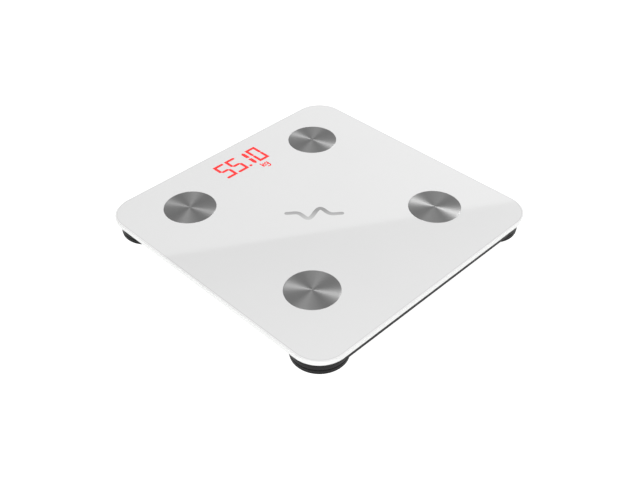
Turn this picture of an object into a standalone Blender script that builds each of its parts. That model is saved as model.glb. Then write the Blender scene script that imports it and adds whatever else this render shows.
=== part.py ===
"""Digital bathroom scale, modelled as the separate pieces that it comes apart into.

Frame: metres, +Z up, origin on the floor at the centre of the platform, +X to the user's
right and +Y towards the display. Front is the user's end (-Y), back is the display end (+Y).
"""

import math

import bmesh
import bpy
from mathutils import Matrix

GAP = 0.0003  # left between pieces that touch on the real object

# Glass platform
PLATE_SIDE = 0.300
PLATE_CORNER = 0.0288
PLATE_THICK = 0.0048
PLATE_TOP = 0.0200
PLATE_UNDER = PLATE_TOP - PLATE_THICK
PLATE_CHAMFER = 0.0006

# Electrodes, their studs and nuts
ELECTRODE_R = 0.0260
ELECTRODE_X = 0.0850
ELECTRODE_FRONT_Y = -0.0760
ELECTRODE_BACK_Y = 0.0957
ELECTRODE_TOP = PLATE_TOP + 0.0001
ELECTRODE_THICK = 0.0007
ELECTRODE_UNDER = ELECTRODE_TOP - ELECTRODE_THICK
STUD_R = 0.0020
STUD_END = 0.0108
STUD_HOLE_R = 0.0035
NUT_FLATS = 0.0070
NUT_THICK = 0.0032

# Feet: fixed housing, load cell, sliding cap and rubber pad
FOOT_AT = 0.1198  # distance of each foot's axis from both centre lines
FOOT_R = 0.0266
FOOT_TRAVEL = 0.0004
HOUSING_LOW = 0.0051
HOUSING_TOP = PLATE_UNDER - GAP
HOUSING_WALL = 0.0016
HOUSING_ROOF = 0.0020
LOAD_CELL_SIDE = 0.0340
LOAD_CELL_LOW = 0.0090
LOAD_CELL_THICK = 0.0016
PAD_R = 0.0262
PAD_THICK = 0.0016
CAP_LOW = PAD_THICK + GAP
CAP_R = 0.0265
CAP_RIM = 0.0025
SKIRT_R = 0.0244
SKIRT_WALL = 0.0012
SKIRT_TOP = 0.0070
PLUNGER_R = 0.0060
PLUNGER_TOP = LOAD_CELL_LOW - FOOT_TRAVEL - 0.0002

# Base tray
TRAY_HALF_X = 0.1400
TRAY_HALF_Y = 0.1460
TRAY_LOW = 0.0054
TRAY_FLOOR = 0.0013
TRAY_FLOOR_TOP = TRAY_LOW + TRAY_FLOOR
TRAY_TOP = PLATE_UNDER - GAP
TRAY_LIP = 0.0012
TRAY_WALL = 0.0036
TRAY_SHELF = 0.0133
TRAY_CHAMFER = 0.0003
POCKET_R = FOOT_R + GAP

# Battery bay, its cells and its door
BAY_Y = 0.0200
BAY_HALF_X = 0.0265
BAY_HALF_Y = 0.0172
BAY_WALL = 0.0015
BAY_LOW = 0.0022
BATTERY_R = 0.00525
BATTERY_BODY = 0.0436
BATTERY_TIP = 0.0009
BATTERY_TIP_R = 0.0019
BATTERY_PITCH = 0.0112
BATTERY_Z = 0.0095
CONTACT_THICK = 0.0004
CONTACT_HALF = 0.0040
CONTACT_SPRING = (0.0032, 0.0020)  # radius at its foot and at its tip
CONTACT_BUTTON = (0.0016, 0.0010)
DOOR_LOW = 0.0026
DOOR_THICK = 0.0012
DOOR_PIN_R = 0.0006
DOOR_TAB_HALF = 0.0060
NOTCH_HALF = 0.0070
HINGE_Y = BAY_Y - BAY_HALF_Y + GAP + DOOR_THICK
HINGE_Z = DOOR_LOW + DOOR_THICK

# Main board and what it carries
BOARD_LEFT, BOARD_RIGHT = -0.0470, 0.0640
BOARD_FRONT, BOARD_BACK = 0.0880, 0.1360
BOARD_LOW = 0.0099
BOARD_THICK = 0.0012
BOARD_TOP = BOARD_LOW + BOARD_THICK
BOARD_MID = BOARD_LOW + BOARD_THICK / 2
DISPLAY_X, DISPLAY_Y = 0.0040, 0.1130
DISPLAY_HALF_X, DISPLAY_HALF_Y = 0.0350, 0.0205
DISPLAY_LOW, DISPLAY_TOP = 0.0070, 0.0142
FILM_MARGIN = 0.0020
BUTTON_X, BUTTON_Y = 0.0510, 0.0960
BUTTON_R = 0.0040
BUTTON_FLANGE_R = 0.0055
BUTTON_LOW = 0.0050
BUTTON_TOP = 0.0076
BUTTON_TRAVEL = 0.0008
BUTTON_GUIDE_R, BUTTON_GUIDE_WALL, BUTTON_GUIDE_TOP = 0.0060, 0.0012, 0.0082
SWITCH_HALF, SWITCH_LOW, SWITCH_STEM_R = 0.0030, 0.0089, 0.0015
SCREW_POST_R, SCREW_HOLE_R, SCREW_LOW = 0.0025, 0.0013, 0.0080
SCREW_R, SCREW_HEAD_R, SCREW_HEAD = 0.0010, 0.0023, 0.0014
BOARD_SCREWS = {"left": (-0.0410, 0.0940), "right": (0.0600, 0.1310)}

# Wiring
LOAD_CELL_WIRE_R = 0.0006
LEAD_R = 0.0005
WIRE_Z = 0.0084
WIRE_SLOT_HALF = 0.0030
WIRE_SLOT_LOW, WIRE_SLOT_TOP = 0.0074, 0.0102

FINE, ROUND, SMALL = 40, 32, 16  # steps in a large, a middling and a small circle

ENDS = {"front": -1, "back": 1}
SIDES = {"left": -1, "right": 1}


def corners():
    """Name and signs of each corner, such as ("front_left", -1, -1)."""
    for end, sign_y in ENDS.items():
        for side, sign_x in SIDES.items():
            yield f"{end}_{side}", sign_x, sign_y


# ---------------------------------------------------------------- outlines


def arc(x, y, radius, start, end, steps):
    """Points on an arc from start to end in degrees, both ends included."""
    angles = [math.radians(start + (end - start) * i / steps) for i in range(steps + 1)]
    return [(x + radius * math.cos(a), y + radius * math.sin(a)) for a in angles]


def circle(radius, steps, x=0.0, y=0.0):
    return arc(x, y, radius, 0, 360, steps)[:-1]


def rectangle(half_x, half_y, x=0.0, y=0.0):
    return [(x + sx * half_x, y + sy * half_y) for sx, sy in ((1, -1), (1, 1), (-1, 1), (-1, -1))]


def rounded_rectangle(half_x, half_y, radius, steps):
    points = []
    for sx, sy, start in ((1, 1, 0), (-1, 1, 90), (-1, -1, 180), (1, -1, 270)):
        points += arc(sx * (half_x - radius), sy * (half_y - radius), radius, start, start + 90, steps)
    return points


def tray_outline(inset):
    """The tray's straight sides, joined by hollows that run round the four feet."""
    half_x, half_y = TRAY_HALF_X - inset, TRAY_HALF_Y - inset
    radius = POCKET_R + inset
    start = -math.degrees(math.acos((half_x - FOOT_AT) / radius))
    end = -180 - math.degrees(math.asin((half_y - FOOT_AT) / radius))
    hollow = arc(FOOT_AT, FOOT_AT, radius, start, end, 18)
    outline = []
    for sx, sy in ((1, 1), (-1, 1), (-1, -1), (1, -1)):
        corner = [(sx * x, sy * y) for x, y in hollow]
        outline += corner if sx * sy > 0 else corner[::-1]
    return outline


# ------------------------------------------------------------------ shapes


def skinned(loops, closed):
    """Faces between loops of points, each loop counter-clockwise about the way they advance."""
    bm = bmesh.new()
    rings = []
    for loop in loops:
        if len(set(loop)) == 1:
            rings.append([bm.verts.new(loop[0])] * len(loop))
        else:
            rings.append([bm.verts.new(point) for point in loop])
    for low, high in zip(rings, rings[1:] + rings[:1] if closed else rings[1:]):
        for i in range(len(low)):
            j = (i + 1) % len(low)
            bm.faces.new(dict.fromkeys((low[i], low[j], high[j], high[i])))
    if not closed and len(set(rings[0])) > 1:
        bm.faces.new(reversed(rings[0]))
    if not closed and len(set(rings[-1])) > 1:
        bm.faces.new(rings[-1])
    return bm


def loft(*levels):
    """A solid through (outline, z) levels, from the lowest up."""
    return skinned([[(x, y, z) for x, y in outline] for outline, z in levels], closed=False)


def turned(profile, steps, closed=False):
    """A profile of (radius, z) points turned about Z: up its outer side, and back down a bore."""
    return skinned([[(x, y, z) for x, y in circle(r, steps)] for r, z in profile], closed)


def picture_frame(outer, inner, low, high):
    """A flat ring between two outlines with the same number of points."""
    levels = ((outer, low), (outer, high), (inner, high), (inner, low))
    return skinned([[(x, y, z) for x, y in outline] for outline, z in levels], closed=True)


def box(x, y, z):
    """A block from its (low, high) extents along each axis."""
    outline = [(x[1], y[0]), (x[1], y[1]), (x[0], y[1]), (x[0], y[0])]
    return loft((outline, z[0]), (outline, z[1]))


def rod(radius, x_low, x_high, y, z, steps):
    """A cylinder along X."""
    bm = turned(((0, x_low), (radius, x_low), (radius, x_high), (0, x_high)), steps)
    bm.transform(Matrix(((0, 0, 1, 0), (1, 0, 0, y), (0, 1, 0, z), (0, 0, 0, 1))))
    return bm


def moved(bm, x, y, z=0.0):
    bm.transform(Matrix.Translation((x, y, z)))
    return bm


def joined(shapes):
    """Several shapes in one bmesh, as separate shells."""
    whole = bmesh.new()
    for shape in shapes:
        mesh = mesh_of("shape", shape)
        whole.from_mesh(mesh)
        bpy.data.meshes.remove(mesh)
    return whole


def mesh_of(name, bm):
    mesh = bpy.data.meshes.new(name)
    bm.to_mesh(mesh)
    bm.free()
    return mesh


def smooth_route(points, spans):
    """Points on a smooth curve that passes through the given ones."""
    route = []
    ends = [points[0]] + list(points) + [points[-1]]
    for a, b, c, d in zip(ends, ends[1:], ends[2:], ends[3:]):
        for step in range(spans):
            t = step / spans
            route.append(
                tuple(
                    q + t / 2 * (r - p + t * (2 * p - 5 * q + 4 * r - s + t * (3 * q - p - 3 * r + s)))
                    for p, q, r, s in zip(a, b, c, d)
                )
            )
    return route + [tuple(points[-1])]


# ----------------------------------------------------------------- objects


def material(name, colour, roughness, metallic=0.0, alpha=1.0):
    made = bpy.data.materials.new(name)
    made.use_nodes = True
    shader = made.node_tree.nodes["Principled BSDF"]
    shader.inputs["Base Color"].default_value = (*colour, 1.0)
    shader.inputs["Roughness"].default_value = roughness
    shader.inputs["Metallic"].default_value = metallic
    shader.inputs["Alpha"].default_value = alpha
    made.diffuse_color = (*colour, alpha)
    return made


def piece(name, bm, finish, location=(0.0, 0.0, 0.0)):
    mesh = mesh_of(name, bm)
    mesh.shade_smooth()
    mesh.set_sharp_from_angle(angle=math.radians(35))
    mesh.materials.append(finish)
    made = bpy.data.objects.new(name, mesh)
    made.location = location
    bpy.context.collection.objects.link(made)
    return made


def combine(target, operation, bm):
    """Adds a Boolean to target, with a hidden tool that stands in target's own frame."""
    tool = bpy.data.objects.new(f"{target.name}_{operation.lower()}", mesh_of("tool", bm))
    tool.parent = target
    tool.hide_render = True
    tool.display_type = "WIRE"
    bpy.context.collection.objects.link(tool)
    modifier = target.modifiers.new(operation.title(), "BOOLEAN")
    modifier.operation = operation
    modifier.object = tool


def wire(name, points, radius, finish):
    """A round wire on a smooth route through the points."""
    route = smooth_route(points, 3)
    curve = bpy.data.curves.new(name, "CURVE")
    curve.dimensions = "3D"
    curve.bevel_depth = radius
    curve.bevel_resolution = 1
    curve.use_fill_caps = True
    spline = curve.splines.new("POLY")
    spline.points.add(len(route) - 1)
    for point, place in zip(spline.points, route):
        point.co = (*place, 1.0)
    curve.materials.append(finish)
    bpy.context.collection.objects.link(bpy.data.objects.new(name, curve))


# ------------------------------------------------------ platform, electrodes


def electrode_places():
    for name, sign_x, sign_y in corners():
        yield name, sign_x * ELECTRODE_X, ELECTRODE_BACK_Y if sign_y > 0 else ELECTRODE_FRONT_Y


def make_platform(finish):
    half = PLATE_SIDE / 2

    def outline(inset):
        return rounded_rectangle(half - inset, half - inset, PLATE_CORNER - inset, 12)

    glass = piece(
        "glass_platform",
        loft(
            (outline(PLATE_CHAMFER), PLATE_UNDER),
            (outline(0), PLATE_UNDER + PLATE_CHAMFER),
            (outline(0), PLATE_TOP - PLATE_CHAMFER),
            (outline(PLATE_CHAMFER), PLATE_TOP),
        ),
        finish,
    )
    recess_r, recess_low = ELECTRODE_R + GAP, ELECTRODE_UNDER - GAP
    beyond = 0.002
    recess = (
        (0, PLATE_UNDER - beyond),
        (STUD_HOLE_R, PLATE_UNDER - beyond),
        (STUD_HOLE_R, recess_low),
        (recess_r, recess_low),
        (recess_r, PLATE_TOP + beyond),
        (0, PLATE_TOP + beyond),
    )
    recesses = [moved(turned(recess, FINE), x, y) for _, x, y in electrode_places()]
    combine(glass, "DIFFERENCE", joined(recesses))


def make_electrodes(finish, nut_finish):
    edge = 0.0003
    disc = (
        (0, STUD_END),
        (STUD_R, STUD_END),
        (STUD_R, ELECTRODE_UNDER),
        (ELECTRODE_R, ELECTRODE_UNDER),
        (ELECTRODE_R, ELECTRODE_TOP - edge),
        (ELECTRODE_R - edge, ELECTRODE_TOP),
        (0, ELECTRODE_TOP),
    )
    nut_top = PLATE_UNDER - GAP
    hexagon = circle(NUT_FLATS / 2 / math.cos(math.radians(30)), 6)
    bore = circle(STUD_R + GAP, SMALL)
    for name, x, y in electrode_places():
        piece(f"electrode_{name}", turned(disc, FINE), finish, (x, y, 0))
        block = loft((hexagon, nut_top - NUT_THICK), (hexagon, nut_top))
        nut = piece(f"electrode_nut_{name}", block, nut_finish, (x, y, 0))
        combine(nut, "DIFFERENCE", loft((bore, STUD_END), (bore, PLATE_TOP)))


# -------------------------------------------------------------------- feet


def make_housing(name, place, sign_x, finish):
    roof = HOUSING_TOP - HOUSING_ROOF
    inner = FOOT_R - HOUSING_WALL
    cup = (
        (0, roof),
        (inner, roof),
        (inner, HOUSING_LOW),
        (FOOT_R, HOUSING_LOW),
        (FOOT_R, HOUSING_TOP),
        (0, HOUSING_TOP),
    )
    housing = piece(f"sensor_housing_{name}", turned(cup, FINE), finish, place)
    half, inset = 0.0020, 0.0025
    post_at = LOAD_CELL_SIDE / 2 - inset
    post_z = (LOAD_CELL_LOW + LOAD_CELL_THICK + GAP, roof + HOUSING_ROOF / 2)
    posts = [
        box((x - half, x + half), (y - half, y + half), post_z)
        for x in (-post_at, post_at)
        for y in (-post_at, post_at)
    ]
    combine(housing, "UNION", joined(posts))
    beyond = 0.002
    slot_x = sorted((-sign_x * (inner - beyond), -sign_x * (FOOT_R + beyond)))
    slot = box(slot_x, (-WIRE_SLOT_HALF, WIRE_SLOT_HALF), (WIRE_SLOT_LOW, WIRE_SLOT_TOP))
    combine(housing, "DIFFERENCE", slot)


def make_load_cell(name, place, sign_x, finish):
    """A square steel plate with a C-shaped cut, which leaves a tongue in its middle for the plunger."""
    plate = rectangle(LOAD_CELL_SIDE / 2, LOAD_CELL_SIDE / 2)
    low, top = LOAD_CELL_LOW, LOAD_CELL_LOW + LOAD_CELL_THICK
    cell = piece(f"load_cell_{name}", loft((plate, low), (plate, top)), finish, place)
    reach, back, tongue, cut = 0.0120, -0.0090, 0.0080, 0.0020
    c_cut = [
        (back, -tongue - cut),
        (reach, -tongue - cut),
        (reach, tongue + cut),
        (back, tongue + cut),
        (back, tongue),
        (reach - cut, tongue),
        (reach - cut, -tongue),
        (back, -tongue),
    ]
    combine(cell, "DIFFERENCE", loft((c_cut, low - cut), (c_cut, top + cut)))
    cell.rotation_euler.z = 0.0 if sign_x > 0 else math.pi


def make_foot(name, place, cap_finish, pad_finish):
    edge = 0.0006
    rim_top = CAP_LOW + CAP_RIM
    cap = (
        (0, CAP_LOW),
        (CAP_R - edge, CAP_LOW),
        (CAP_R, CAP_LOW + edge),
        (CAP_R, rim_top),
        (SKIRT_R, rim_top),
        (SKIRT_R, SKIRT_TOP),
        (SKIRT_R - SKIRT_WALL, SKIRT_TOP),
        (SKIRT_R - SKIRT_WALL, rim_top),
        (PLUNGER_R, rim_top),
        (PLUNGER_R, PLUNGER_TOP),
        (0, PLUNGER_TOP),
    )
    piece(f"foot_cap_{name}", turned(cap, ROUND), cap_finish, place)
    pad = ((0, 0), (PAD_R - edge, 0), (PAD_R, edge), (PAD_R, PAD_THICK), (0, PAD_THICK))
    piece(f"foot_pad_{name}", turned(pad, ROUND), pad_finish, place)


def make_feet(plastic, steel, rubber):
    for name, sign_x, sign_y in corners():
        place = (sign_x * FOOT_AT, sign_y * FOOT_AT, 0)
        make_housing(name, place, sign_x, plastic)
        make_load_cell(name, place, sign_x, steel)
        make_foot(name, place, plastic, rubber)


# -------------------------------------------------------------------- tray


def make_tray(finish):
    above = PLATE_TOP
    tray = piece(
        "base_tray",
        loft(
            (tray_outline(TRAY_CHAMFER), TRAY_LOW),
            (tray_outline(0), TRAY_LOW + TRAY_CHAMFER),
            (tray_outline(0), TRAY_TOP),
        ),
        finish,
    )
    for inset, low in ((TRAY_LIP, TRAY_SHELF), (TRAY_WALL, TRAY_FLOOR_TOP)):
        hollow = tray_outline(inset)
        combine(tray, "DIFFERENCE", loft((hollow, low), (hollow, above)))

    bay_outer = rectangle(BAY_HALF_X + BAY_WALL, BAY_HALF_Y + BAY_WALL, 0, BAY_Y)
    post, in_floor = circle(SCREW_POST_R, SMALL), TRAY_LOW + TRAY_FLOOR / 2
    guide_outer = BUTTON_GUIDE_R + BUTTON_GUIDE_WALL
    guide = (
        (BUTTON_GUIDE_R, in_floor),
        (guide_outer, in_floor),
        (guide_outer, BUTTON_GUIDE_TOP),
        (BUTTON_GUIDE_R, BUTTON_GUIDE_TOP),
    )
    raised = [loft((bay_outer, BAY_LOW), (bay_outer, TRAY_TOP))]
    raised += [moved(loft((post, in_floor), (post, BOARD_LOW - GAP)), x, y) for x, y in BOARD_SCREWS.values()]
    raised += [moved(turned(guide, SMALL, closed=True), BUTTON_X, BUTTON_Y)]
    combine(tray, "UNION", joined(raised))

    bay = rectangle(BAY_HALF_X, BAY_HALF_Y, 0, BAY_Y)
    button_hole = circle(BUTTON_R + GAP, ROUND)
    screw_hole = circle(SCREW_HOLE_R, SMALL)
    slot_y = (-WIRE_SLOT_HALF, WIRE_SLOT_HALF)
    cuts = [loft((bay, 0), (bay, above))]
    cuts += [moved(loft((button_hole, 0), (button_hole, BUTTON_TOP)), BUTTON_X, BUTTON_Y)]
    bore_low = SCREW_LOW - GAP
    cuts += [moved(loft((screw_hole, bore_low), (screw_hole, above)), x, y) for x, y in BOARD_SCREWS.values()]
    beyond = 0.001
    for _, sign_x, sign_y in corners():
        slot_x = sorted((-sign_x * (POCKET_R - beyond), -sign_x * (POCKET_R + TRAY_WALL + beyond)))
        slot = box(slot_x, slot_y, (WIRE_SLOT_LOW, WIRE_SLOT_TOP))
        cuts.append(moved(slot, sign_x * FOOT_AT, sign_y * FOOT_AT))
    combine(tray, "DIFFERENCE", joined(cuts))

    pin_reach = BAY_HALF_X + BAY_WALL + beyond
    wall_y = BAY_Y + BAY_HALF_Y
    notch_y, notch_top = (wall_y - beyond, wall_y + BAY_WALL + beyond), DOOR_LOW + 0.0008
    notch = box((-NOTCH_HALF, NOTCH_HALF), notch_y, (0.0, notch_top))
    pins = rod(DOOR_PIN_R + GAP, -pin_reach, pin_reach, HINGE_Y, HINGE_Z, SMALL)
    combine(tray, "DIFFERENCE", joined([pins, notch]))


def make_gasket(finish):
    outer, inner = tray_outline(TRAY_LIP + GAP), tray_outline(TRAY_WALL - GAP)
    piece("bonding_gasket", picture_frame(outer, inner, TRAY_SHELF + GAP, TRAY_TOP), finish)


# ------------------------------------------------------------- battery bay


def make_batteries(finish):
    """Three cells side by side in series, so the middle one lies the other way round."""
    profile = (
        (0, -BATTERY_BODY / 2),
        (BATTERY_R, -BATTERY_BODY / 2),
        (BATTERY_R, BATTERY_BODY / 2),
        (BATTERY_TIP_R, BATTERY_BODY / 2),
        (BATTERY_TIP_R, BATTERY_BODY / 2 + BATTERY_TIP),
        (0, BATTERY_BODY / 2 + BATTERY_TIP),
    )
    for i in range(3):
        place = (0, BAY_Y + (i - 1) * BATTERY_PITCH, BATTERY_Z)
        cell = piece(f"battery_{i + 1}", turned(profile, 24), finish, place)
        cell.rotation_euler.y = math.pi / 2 if i % 2 == 0 else -math.pi / 2


def make_contacts(finish):
    """A strip at each end of the bay, with a spring cone at each flat end and a button at each tip."""
    wall = BAY_HALF_X - GAP
    spring_tip = BATTERY_BODY / 2 + GAP
    button_tip = BATTERY_BODY / 2 + BATTERY_TIP + GAP
    for side, sign_x in SIDES.items():
        strip_x = sorted((sign_x * wall, sign_x * (wall - CONTACT_THICK)))
        y_reach = BATTERY_PITCH + CONTACT_HALF
        strip_z = (BATTERY_Z - CONTACT_HALF, BATTERY_Z + CONTACT_HALF)
        strip = box(strip_x, (BAY_Y - y_reach, BAY_Y + y_reach), strip_z)
        contact = piece(f"battery_contact_{side}", strip, finish)
        in_strip = wall - CONTACT_THICK / 2
        studs = []
        for i in range(3):
            meets_tip = (sign_x > 0) == (i % 2 == 0)
            tip = button_tip if meets_tip else spring_tip
            foot_r, tip_r = CONTACT_BUTTON if meets_tip else CONTACT_SPRING
            cone = turned(((0, tip), (tip_r, tip), (foot_r, in_strip), (0, in_strip)), 12)
            cone.transform(Matrix.Rotation(sign_x * math.pi / 2, 4, "Y"))
            studs.append(moved(cone, 0, BAY_Y + (i - 1) * BATTERY_PITCH, BATTERY_Z))
        combine(contact, "UNION", joined(studs))


def make_door(finish):
    """The door, about its hinge axis: a plate that turns on a round edge with a pin at each end."""
    length = 2 * (BAY_HALF_Y - GAP) - DOOR_THICK
    half_x = BAY_HALF_X - GAP
    section = [(length, -DOOR_THICK), (length, 0.0)] + arc(0, 0, DOOR_THICK, 0, 270, 12)
    plate = skinned([[(x, y, z) for y, z in section] for x in (-half_x, half_x)], closed=False)
    door = piece("battery_door", plate, finish, (0, HINGE_Y, HINGE_Z))
    pin_reach = BAY_HALF_X + BAY_WALL - GAP
    combine(door, "UNION", rod(DOOR_PIN_R, -pin_reach, pin_reach, 0, 0, 12))
    tab_y, tab_z = (length - 0.0015, length - 0.0005), (-0.0004, 0.0018)
    combine(door, "UNION", box((-DOOR_TAB_HALF, DOOR_TAB_HALF), tab_y, tab_z))


# ------------------------------------------------------------- electronics


def make_board(finish, screw_finish):
    mid_x, mid_y = (BOARD_LEFT + BOARD_RIGHT) / 2, (BOARD_FRONT + BOARD_BACK) / 2
    half_x, half_y = (BOARD_RIGHT - BOARD_LEFT) / 2, (BOARD_BACK - BOARD_FRONT) / 2
    outline = rectangle(half_x, half_y, mid_x, mid_y)
    board = piece("main_board", loft((outline, BOARD_LOW), (outline, BOARD_TOP)), finish)
    window = rectangle(DISPLAY_HALF_X + GAP, DISPLAY_HALF_Y + GAP, DISPLAY_X, DISPLAY_Y)
    hole = circle(SCREW_HOLE_R, SMALL)
    cuts = [loft((window, 0), (window, PLATE_TOP))]
    cuts += [moved(loft((hole, 0), (hole, PLATE_TOP)), x, y) for x, y in BOARD_SCREWS.values()]
    combine(board, "DIFFERENCE", joined(cuts))

    head, edge = BOARD_TOP + GAP, 0.0005
    screw = (
        (0, SCREW_LOW),
        (SCREW_R, SCREW_LOW),
        (SCREW_R, head),
        (SCREW_HEAD_R, head),
        (SCREW_HEAD_R, head + SCREW_HEAD - edge),
        (SCREW_HEAD_R - edge, head + SCREW_HEAD),
        (0, head + SCREW_HEAD),
    )
    for side, (x, y) in BOARD_SCREWS.items():
        piece(f"board_screw_{side}", turned(screw, SMALL), screw_finish, (x, y, 0))


def make_chip(name, x, y, half_x, half_y, height, finish):
    """A package on the board, with its top edge drawn in."""
    low = BOARD_TOP + GAP
    edge = 0.0002
    body, top = rectangle(half_x, half_y, x, y), rectangle(half_x - edge, half_y - edge, x, y)
    piece(name, loft((body, low), (body, low + height - edge), (top, low + height)), finish)


def make_display(finish, diffuser_finish):
    edge = 0.0005
    body = rectangle(DISPLAY_HALF_X, DISPLAY_HALF_Y, DISPLAY_X, DISPLAY_Y)
    face = rectangle(DISPLAY_HALF_X - edge, DISPLAY_HALF_Y - edge, DISPLAY_X, DISPLAY_Y)
    shape = loft((body, DISPLAY_LOW), (body, DISPLAY_TOP - edge), (face, DISPLAY_TOP))
    piece("display_module", shape, finish)
    film = rectangle(DISPLAY_HALF_X - FILM_MARGIN, DISPLAY_HALF_Y - FILM_MARGIN, DISPLAY_X, DISPLAY_Y)
    film_low = DISPLAY_TOP + 0.0002
    piece("display_diffuser", loft((film, film_low), (film, PLATE_UNDER - GAP)), diffuser_finish)


def make_unit_button(finish, switch_finish):
    edge = 0.0003
    shoulder = TRAY_FLOOR_TOP + GAP
    button = (
        (0, BUTTON_LOW),
        (BUTTON_R - edge, BUTTON_LOW),
        (BUTTON_R, BUTTON_LOW + edge),
        (BUTTON_R, shoulder),
        (BUTTON_FLANGE_R, shoulder),
        (BUTTON_FLANGE_R, BUTTON_TOP),
        (0, BUTTON_TOP),
    )
    place = (BUTTON_X, BUTTON_Y, 0)
    piece("unit_button", turned(button, 24), finish, place)
    body = rectangle(SWITCH_HALF, SWITCH_HALF)
    block = loft((body, SWITCH_LOW), (body, BOARD_LOW - GAP))
    switch = piece("unit_switch", block, switch_finish, place)
    stem = circle(SWITCH_STEM_R, 12)
    stem_low, in_switch = BUTTON_TOP + BUTTON_TRAVEL + 0.0002, SWITCH_LOW + GAP
    combine(switch, "UNION", loft((stem, stem_low), (stem, in_switch)))


# ------------------------------------------------------------------ wiring


def make_cell_wires(finish):
    """From each load cell out through the housing's slot, along the tray's floor and up to the board."""
    ends = {
        "back_left": [(BOARD_LEFT - 0.0006, 0.1198, BOARD_MID)],
        "back_right": [(BOARD_RIGHT + 0.0006, 0.1198, BOARD_MID)],
    }
    for side, sign_x, board_x in (("left", -1, -0.036), ("right", 1, 0.040)):
        ends[f"front_{side}"] = [
            (sign_x * 0.066, -0.1165, WIRE_Z),
            (sign_x * 0.0575, -0.1000, WIRE_Z),
            (sign_x * 0.0555, -0.0300, WIRE_Z),
            (sign_x * 0.0540, 0.0300, WIRE_Z),
            (sign_x * 0.0460, 0.0720, WIRE_Z),
            (board_x, BOARD_FRONT - 0.0050, BOARD_MID - 0.0003),
            (board_x, BOARD_FRONT - 0.0005, BOARD_MID),
        ]
    for name, sign_x, sign_y in corners():
        x, y = sign_x * FOOT_AT, sign_y * FOOT_AT
        route = [
            (x - sign_x * (LOAD_CELL_SIDE / 2 + 0.0006), y, LOAD_CELL_LOW + 0.0006),
            (x - sign_x * 0.0210, y, WIRE_Z + 0.0003),
            (x - sign_x * 0.0260, y, WIRE_Z + 0.0002),
            (x - sign_x * 0.0340, y, WIRE_Z),
        ]
        wire(f"load_cell_wire_{name}", route + ends[name], LOAD_CELL_WIRE_R, finish)


def make_electrode_wires(finish):
    """From each electrode's nut to the board."""
    ends = {
        "back_left": [(-0.060, 0.1010, 0.0090), (BOARD_LEFT - 0.0005, 0.1040, BOARD_MID)],
        "back_right": [(0.0705, 0.1010, 0.0095), (BOARD_RIGHT + 0.0005, 0.1040, BOARD_MID)],
    }
    for side, sign_x, board_x in (("left", -1, -0.042), ("right", 1, 0.050)):
        ends[f"front_{side}"] = [
            (sign_x * 0.0660, -0.0560, WIRE_Z),
            (sign_x * 0.0640, 0.0300, WIRE_Z),
            (sign_x * 0.0560, 0.0720, WIRE_Z),
            (board_x, BOARD_FRONT - 0.0050, BOARD_MID - 0.0003),
            (board_x, BOARD_FRONT - 0.0005, BOARD_MID),
        ]
    for name, x, y in electrode_places():
        inward = math.copysign(1, x)
        route = [
            (x - inward * 0.0045, y, 0.0131),
            (x - inward * 0.0070, y, 0.0125),
            (x - inward * 0.0110, y + 0.0020, 0.0095),
        ]
        wire(f"electrode_wire_{name}", route + ends[name], LEAD_R, finish)


def make_battery_lead(finish):
    start_y = BAY_Y + BAY_HALF_Y + BAY_WALL + 0.0006
    route = [
        (-0.020, start_y, 0.0120),
        (-0.020, start_y + 0.004, 0.0105),
        (-0.017, 0.0560, WIRE_Z),
        (-0.012, 0.0740, WIRE_Z),
        (-0.012, BOARD_FRONT - 0.0005, BOARD_MID),
    ]
    wire("battery_lead", route, LEAD_R, finish)


# ---------------------------------------------------------------- assembly


def clear_scene():
    for existing in list(bpy.data.objects):
        bpy.data.objects.remove(existing, do_unlink=True)


def main():
    clear_scene()
    white_glass = material("white_glass", (0.80, 0.80, 0.80), 0.05)
    brushed = material("brushed_electrode", (0.45, 0.45, 0.45), 0.30, metallic=1.0)
    plated = material("plated_steel", (0.60, 0.60, 0.58), 0.35, metallic=1.0)
    charcoal = material("charcoal_plastic", (0.032, 0.032, 0.033), 0.50)
    rubber = material("foot_rubber", (0.025, 0.025, 0.025), 0.85)
    foam = material("gasket_foam", (0.10, 0.10, 0.10), 0.95)
    lacquer = material("board_lacquer", (0.02, 0.16, 0.06), 0.45)
    black = material("chip_black", (0.015, 0.015, 0.016), 0.55)
    red = material("display_red", (0.30, 0.02, 0.02), 0.40)
    film = material("diffuser_film", (0.85, 0.85, 0.85), 0.60, alpha=0.6)
    jacket = material("battery_jacket", (0.10, 0.12, 0.30), 0.35)
    insulation = material("wire_insulation", (0.60, 0.05, 0.04), 0.50)

    make_platform(white_glass)
    make_electrodes(brushed, plated)
    make_feet(charcoal, plated, rubber)
    make_tray(charcoal)
    make_gasket(foam)
    make_batteries(jacket)
    make_contacts(plated)
    make_door(charcoal)
    make_board(lacquer, plated)
    make_chip("controller_chip", 0.0470, 0.1270, 0.0050, 0.0050, 0.0014, black)
    make_chip("radio_module", 0.0520, 0.1080, 0.0070, 0.0055, 0.0022, plated)
    make_display(red, film)
    make_unit_button(charcoal, black)
    make_cell_wires(insulation)
    make_electrode_wires(insulation)
    make_battery_lead(insulation)


main()
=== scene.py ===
import math

import bmesh
import bpy
from mathutils import Matrix, Vector


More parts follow.
